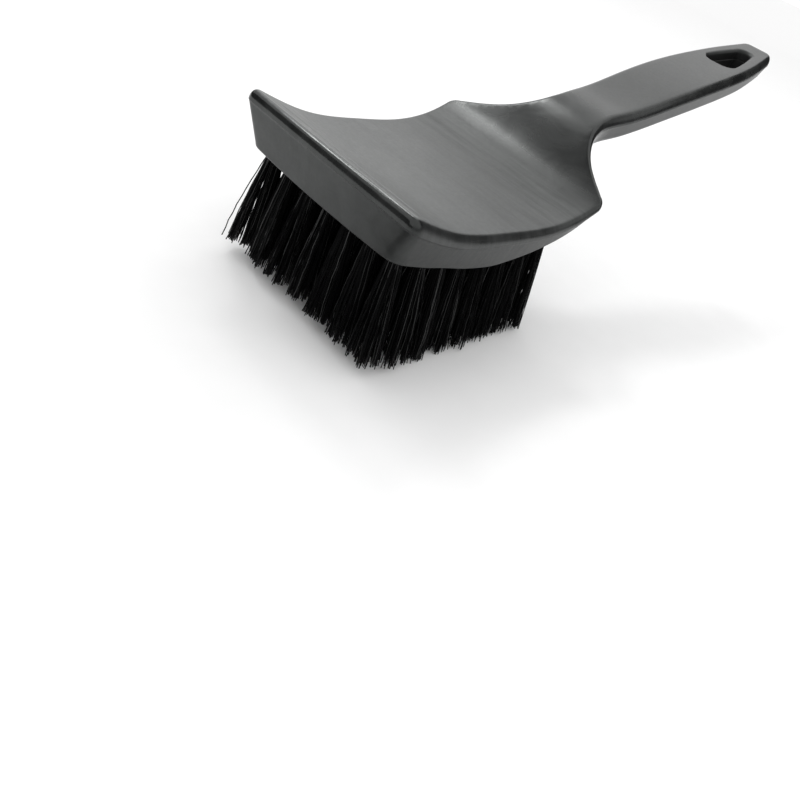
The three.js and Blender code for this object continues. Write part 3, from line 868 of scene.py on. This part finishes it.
class BlockNodes(Nodes):
    """The block's plastic: where each finish lies, and the noises that it is made of.

    The head's top is brushed, with a paler painted sheen on its upward-facing part that
    stands in for reflected light, the shoulder behind the crease is smooth, the handle is
    satin, and the rounding of the front lip is glossy.
    """

    def __init__(self):
        super().__init__("moulded_plastic")
        self.polish = self.attribute("polish")
        self.hole_shade = self.attribute("hole_shade")
        self.place_finishes()
        streaks = self.noise((420, 26, 60), (0, 0, 0.06), detail=5, roughness=0.62)
        self.swept = self.math("MULTIPLY", self.math("SUBTRACT", streaks, 0.5), self.brushed)
        self.cloud = self.noise((75, 75, 75), detail=4, distortion=0.8)
        self.grain = self.noise((2600, 2600, 2600), detail=2)
        self.fine = self.noise((900, 900, 900))
        self.hatch = self.noise((260, 1500, 420), (0.5, 0.3, 0.7))

    def fade(self, span, before, after):
        """A value that changes along the brush, over a span of its millimetres."""
        low, high = row_frame([(x, 0, 0) for x in span])[:, 0]
        return self.range(self.x, low, high, before, after)

    def place_finishes(self):
        """Where each finish lies, as shares from 0 to 1."""
        self.x = self.component(self.place, "X")
        self.brushed = self.fade(BRUSHED_END, 1, BRUSHED_REST)
        # painted sheen on the head's top: strongest at the front, weaker at the crease
        self.painted_sheen_along = self.fade((0, CREASE_X), FRONT_PAINTED_SHEEN, CREASE_PAINTED_SHEEN)
        behind, before_grip = self.fade(SMOOTH_START, 0, 1), self.fade(SMOOTH_END, 1, SMOOTH_REST)
        self.smooth = self.math("MULTIPLY", behind, before_grip)
        matt = self.math("SUBTRACT", 1, self.math("POWER", self.polish, MATT_POWER))
        self.textured = self.math("MULTIPLY", matt, self.fade(TEXTURE_END, 1, TEXTURE_REST))
        # how squarely a surface faces up; the painted sheen lies only there
        normal = self.new("ShaderNodeNewGeometry").outputs["Normal"]
        self.level = self.range(self.component(normal, "Z"), *LEVEL, 0, 1)

    def colour(self):
        """Blotchy charcoal, with a paler painted sheen on the head's upward-facing top, densest at the
        front, and painted shade deep in the hang hole.
        """
        blotch = self.range(self.cloud, *CLOUD_SPAN, 0, 1)
        plain = self.mix(blotch, *CHARCOAL)
        # painted sheen: a paler colour on the upward-facing head top, streaked along the brush lines
        painted_sheen = self.math("ADD", self.painted_sheen_along, self.math("MULTIPLY", self.swept, STREAK_PAINTED_SHEEN))
        painted_sheen = self.math("MULTIPLY", self.math("MULTIPLY", painted_sheen, self.brushed), self.level)
        # the inside of the hang hole is blended towards a near-black tone: painted shade
        return self.blend(self.hole_shade, self.blend(painted_sheen, plain, PAINTED_SHEEN_TONE), HOLE_SHADE_TONE)

    def roughness(self):
        blotched = self.range(self.cloud, *CLOUD_SPAN, *MATT_ROUGHNESS)
        streaked = self.math("ADD", blotched, self.math("MULTIPLY", self.swept, STREAK_ROUGHNESS))
        speckle = self.range(self.fine, *NOISE_SPAN, -FINE_ROUGHNESS, FINE_ROUGHNESS)
        matt = self.math("ADD", streaked, speckle)
        matt = self.blend_value(self.smooth, matt, SMOOTH_ROUGHNESS)
        glossy = self.range(self.hatch, *NOISE_SPAN, *GLOSSY_ROUGHNESS)
        matt_share = self.math("MULTIPLY", self.math("SUBTRACT", 1, self.polish), matt)
        return self.math("ADD", matt_share, self.math("MULTIPLY", self.polish, glossy))

    def sheen(self):
        blotched = self.range(self.cloud, *NOISE_SPAN, *SHEEN)
        sheen = self.math("ADD", blotched, self.math("MULTIPLY", self.swept, STREAK_SHEEN))
        sheen = self.math("MULTIPLY", sheen, self.range(self.smooth, 0, 1, 1, SMOOTH_SHEEN))
        # reflection weakened deep in the hang hole, along with its painted shade
        return self.math("MULTIPLY", sheen, self.range(self.hole_shade, 0, 1, 1, HOLE_SHADE_SHEEN))

    def relief(self):
        """Grain, brush lines, slow waves in the surface, and fine hatching on the lip."""
        grain = self.bump(self.math("MULTIPLY", self.grain, self.textured), *GRAIN_RELIEF)
        lines = self.bump(self.swept, *LINE_RELIEF, grain)
        wavy = self.math("MULTIPLY", self.cloud, self.range(self.textured, 0, 1, SMOOTH_WAVES, 1))
        waves = self.bump(wavy, *WAVE_RELIEF, lines)
        hatched = self.math("MULTIPLY", self.hatch, self.math("POWER", self.polish, HATCH_POWER))
        return self.bump(hatched, *HATCH_RELIEF, waves)


def moulded_plastic():
    n = BlockNodes()
    n.link(n.colour(), n.shader.inputs["Base Color"])
    n.link(n.roughness(), n.shader.inputs["Roughness"])
    n.link(n.sheen(), n.shader.inputs["Specular IOR Level"])
    n.link(n.relief(), n.shader.inputs["Normal"])
    n.shader.inputs["Specular Tint"].default_value = (*PLASTIC_TINT, 1)
    n.shader.inputs["IOR"].default_value = PLASTIC_IOR
    return n.material


def bristle_plastic():
    """Black filament. About one filament in five is glossy enough to show as a pale line."""
    n = Nodes("bristle_filament")
    shade = n.attribute("shade")
    along = n.noise((500, 500, 90))
    own = n.math("MULTIPLY", shade, BRISTLE_SHADE_SHARE)
    tone = n.math("ADD", own, n.math("MULTIPLY", along, 1 - BRISTLE_SHADE_SHARE))
    n.link(n.mix(tone, *BRISTLE_BLACK), n.shader.inputs["Base Color"])
    n.link(n.range(shade, 0, 1, *BRISTLE_ROUGHNESS), n.shader.inputs["Roughness"])
    n.link(n.range(shade, PALE_FROM, 1, *BRISTLE_SHEEN), n.shader.inputs["Specular IOR Level"])
    n.link(n.bump(along, *BRISTLE_RELIEF), n.shader.inputs["Normal"])
    return n.material


def anchor_steel():
    n = Nodes("anchor_steel")
    drawn = n.noise((300, 2400, 2400), detail=4)
    n.link(n.mix(drawn, *STEEL), n.shader.inputs["Base Color"])
    n.link(n.range(drawn, *NOISE_SPAN, *STEEL_ROUGHNESS), n.shader.inputs["Roughness"])
    n.shader.inputs["Metallic"].default_value = 1.0
    return n.material


def floor_paper():
    n = Nodes("floor_paper")
    fibre = n.noise((60, 60, 60), detail=5)
    n.link(n.mix(fibre, *PAPER), n.shader.inputs["Base Color"])
    n.shader.inputs["Roughness"].default_value = 0.9
    n.shader.inputs["Specular IOR Level"].default_value = 0.1
    return n.material


def black_cloth():
    n = Nodes("black_cloth")
    weave = n.noise((40, 40, 40), detail=4)
    n.link(n.mix(weave, *CLOTH), n.shader.inputs["Base Color"])
    n.shader.inputs["Roughness"].default_value = 1.0
    n.shader.inputs["Specular IOR Level"].default_value = 0.0
    return n.material


# ---- Assembly --------------------------------------------------------------------

block = build_block()
block.data.materials.append(moulded_plastic())
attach(block, "root")
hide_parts("handle_block")

bristle = bristle_plastic()
for row in range(ROWS):
    for column in range(COLUMNS):
        tuft = build_tuft(row, column)
        tuft.data.materials.append(bristle)
        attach(tuft, "root")
        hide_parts(f"tuft_r{row + 1}_c{column + 1}")

anchors = build_anchors()
anchors.data.materials.append(anchor_steel())
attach(anchors, "root")


# ---- Floor, light and camera --------------------------------------------------------


def build_floor():
    """A pale round floor, wide enough to reach the horizon."""
    sides = FLOOR_SIDES
    angle = np.arange(sides) / sides * 2 * math.pi
    points = [(0.0, 0.0, 0.0)]
    faces = []
    for k, radius in enumerate(FLOOR_RADII):
        points += [(radius * math.cos(a), radius * math.sin(a), 0.0) for a in angle]
        outer = 1 + k * sides
        for i in range(sides):
            j = (i + 1) % sides
            if k == 0:
                faces.append((0, outer + i, outer + j))
            else:
                faces.append((outer - sides + i, outer + i, outer + j, outer - sides + j))
    mesh = bpy.data.meshes.new("floor")
    mesh.from_pydata(points, [], faces)
    mesh.materials.append(floor_paper())
    obj = bpy.data.objects.new("floor", mesh)
    bpy.context.scene.collection.objects.link(obj)


def build_world():
    """Even white light from every side."""
    world = bpy.data.worlds.new("studio")
    world.use_nodes = True
    background = world.node_tree.nodes["Background"]
    background.inputs["Color"].default_value = (1, 1, 1, 1)
    background.inputs["Strength"].default_value = WORLD_LIGHT
    bpy.context.scene.world = world


def build_key():
    """A broad, distant overhead light behind the brush, which lights the whole floor evenly."""
    light = bpy.data.lights.new("key", "SUN")
    light.energy = KEY_LIGHT
    light.angle = math.radians(KEY_SPREAD)
    obj = bpy.data.objects.new("key", light)
    obj.rotation_euler = (-Vector(KEY_FROM)).to_track_quat("-Z", "Y").to_euler()
    bpy.context.scene.collection.objects.link(obj)


def sky_point(azimuth, elevation, distance):
    """A place in the studio, by its direction from the brush in degrees."""
    a, e = math.radians(azimuth), math.radians(elevation)
    out = distance * math.cos(e)
    return (out * math.cos(a), out * math.sin(a), distance * math.sin(e))


def build_softbox(name, azimuth, elevation, size, power):
    """A small overhead light on the far side, for one of the highlights."""
    light = bpy.data.lights.new(name, "AREA")
    light.shape = "RECTANGLE"
    light.size, light.size_y = size
    light.energy = power
    obj = bpy.data.objects.new(name, light)
    obj.location = sky_point(azimuth, elevation, SOFTBOX_DISTANCE)
    obj.rotation_euler = (-obj.location).to_track_quat("-Z", "Y").to_euler()
    bpy.context.scene.collection.objects.link(obj)


def dark_surround():
    """Dark cards round, above and before the brush that show only in glossy reflections. The card on
    the floor before the brush is painted shade: it stands in for the shaded floor that the front wall
    reflects.
    """
    sides = SURROUND_SIDES
    angle = np.arange(sides) / sides * 2 * math.pi
    circle = np.stack([np.cos(angle), np.sin(angle)], axis=1) * SURROUND_R
    azimuth, height = np.array(SKYLINE, float).T
    skyline = np.interp(np.degrees(angle), azimuth, height, period=360)
    top = SURROUND_R * np.tan(np.radians(skyline))
    points = [(x, y, z) for tall in (0 * top, top) for (x, y), z in zip(circle, tall)]
    faces = [(i, (i + 1) % sides, sides + (i + 1) % sides, sides + i) for i in range(sides)]
    cards = [[sky_point(*corner, SURROUND_R) for corner in flag] for flag in FLAGS]
    cards.append([(x, y, FLOOR_CARD_Z) for x, y in FLOOR_SHADE_CARD])
    for card in cards:
        faces.append(tuple(range(len(points), len(points) + len(card))))
        points += card
    mesh = bpy.data.meshes.new("dark_surround")
    mesh.from_pydata(points, [], faces)
    mesh.materials.append(black_cloth())
    obj = bpy.data.objects.new("dark_surround", mesh)
    obj.visible_camera = False
    obj.visible_diffuse = False
    obj.visible_shadow = False
    bpy.context.scene.collection.objects.link(obj)


def build_camera():
    """The photograph's view: over the head's front corner, rolled a little."""
    camera = bpy.data.cameras.new("camera")
    camera.sensor_width = CAMERA_SENSOR
    camera.lens = CAMERA_LENS
    camera.clip_start = CAMERA_NEAR
    obj = bpy.data.objects.new("camera", camera)
    right = Vector(CAMERA_RIGHT)
    back = Vector(CAMERA_BACK)
    up = back.cross(right).normalized()
    right = up.cross(back).normalized()
    turn = Matrix((right, up, back.normalized())).transposed()
    obj.matrix_world = Matrix.Translation(Vector(CAMERA_PLACE)) @ turn.to_4x4()
    bpy.context.scene.collection.objects.link(obj)
    bpy.context.scene.camera = obj


# ---- Studio ------------------------------------------------------------------------

build_floor()
build_camera()
build_world()
build_key()
for softbox in SOFTBOXES:
    build_softbox(*softbox)
dark_surround()
bpy.context.scene.view_settings.view_transform = "Standard"
